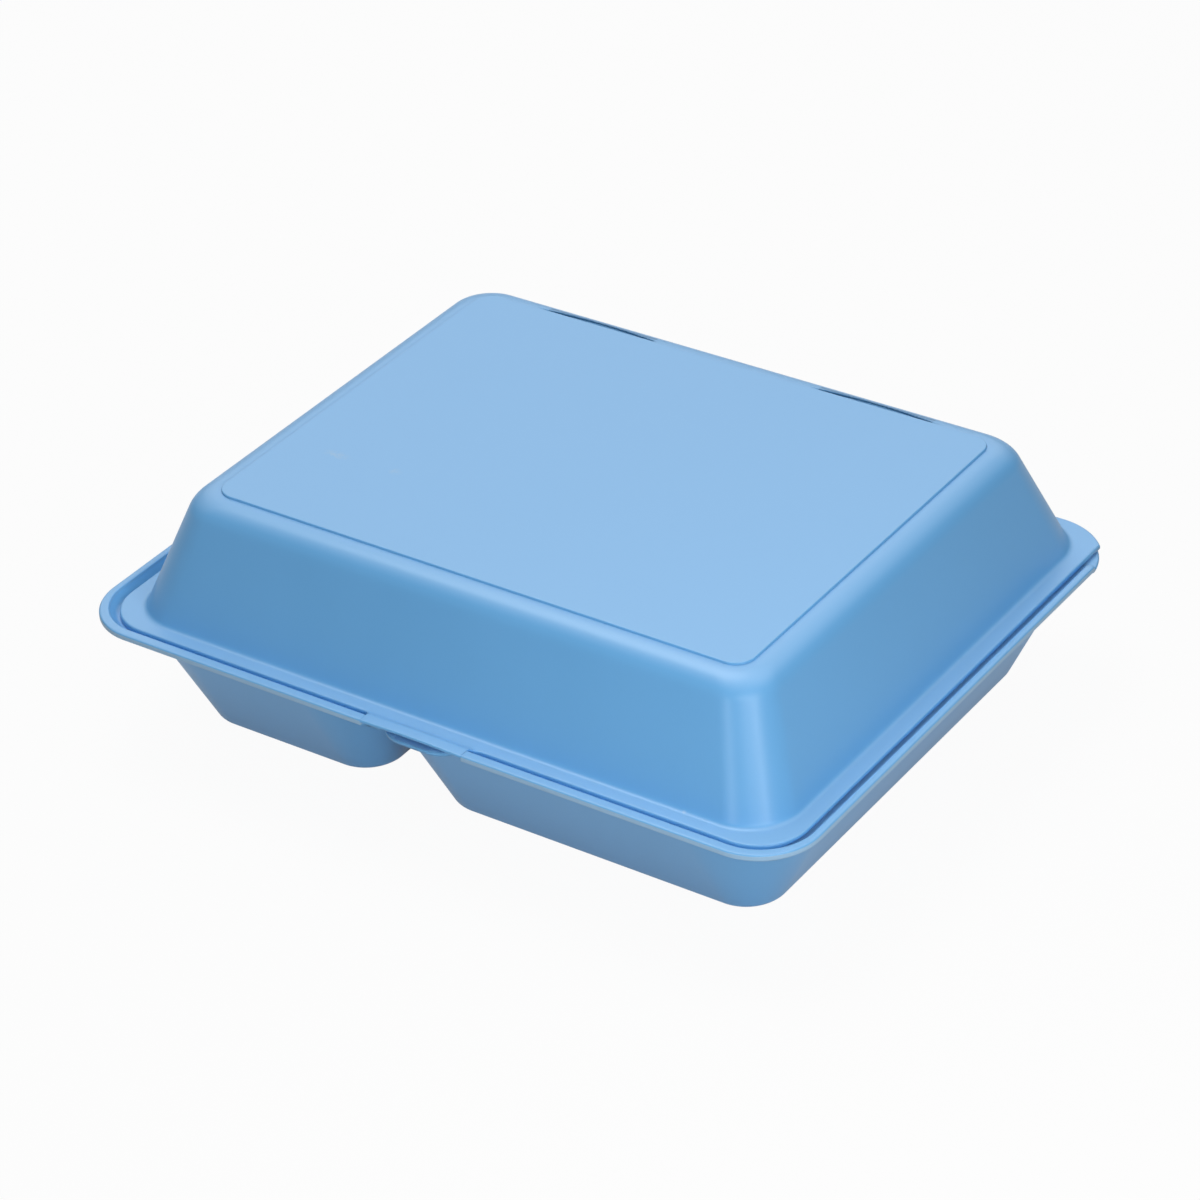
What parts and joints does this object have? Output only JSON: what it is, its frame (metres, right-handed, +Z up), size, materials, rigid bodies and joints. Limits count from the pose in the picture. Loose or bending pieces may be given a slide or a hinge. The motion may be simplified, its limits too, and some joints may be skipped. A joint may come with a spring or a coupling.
{
  "type": "takeout box",
  "caption": "Reusable light-blue plastic takeout box with a hinged lid, shown closed; deep lid with a raised panel, tray with a small and a large compartment, tab latch at the front.",
  "frame": {"origin": "middle of the footprint at the surface the box stands on", "axes": "+X is to the right seen from the latch, +Y runs from the latch to the hinge, +Z is up"},
  "size_m": [0.254, 0.203, 0.0807],
  "materials": {
    "shell": "satin"
  },
  "bodies": {
    "base": {"base_tray": "shell", "living_hinge": "shell"},
    "top": {"lid": "shell"}
  },
  "joints": [
    {"name": "lid_hinge", "type": "hinge", "parent": "base", "child": "top", "pos_m": [0, 0.101, 0.04035], "axis": [-1, 0, 0], "range_deg": [0, 180], "deforming": ["living_hinge"]}
  ]
}
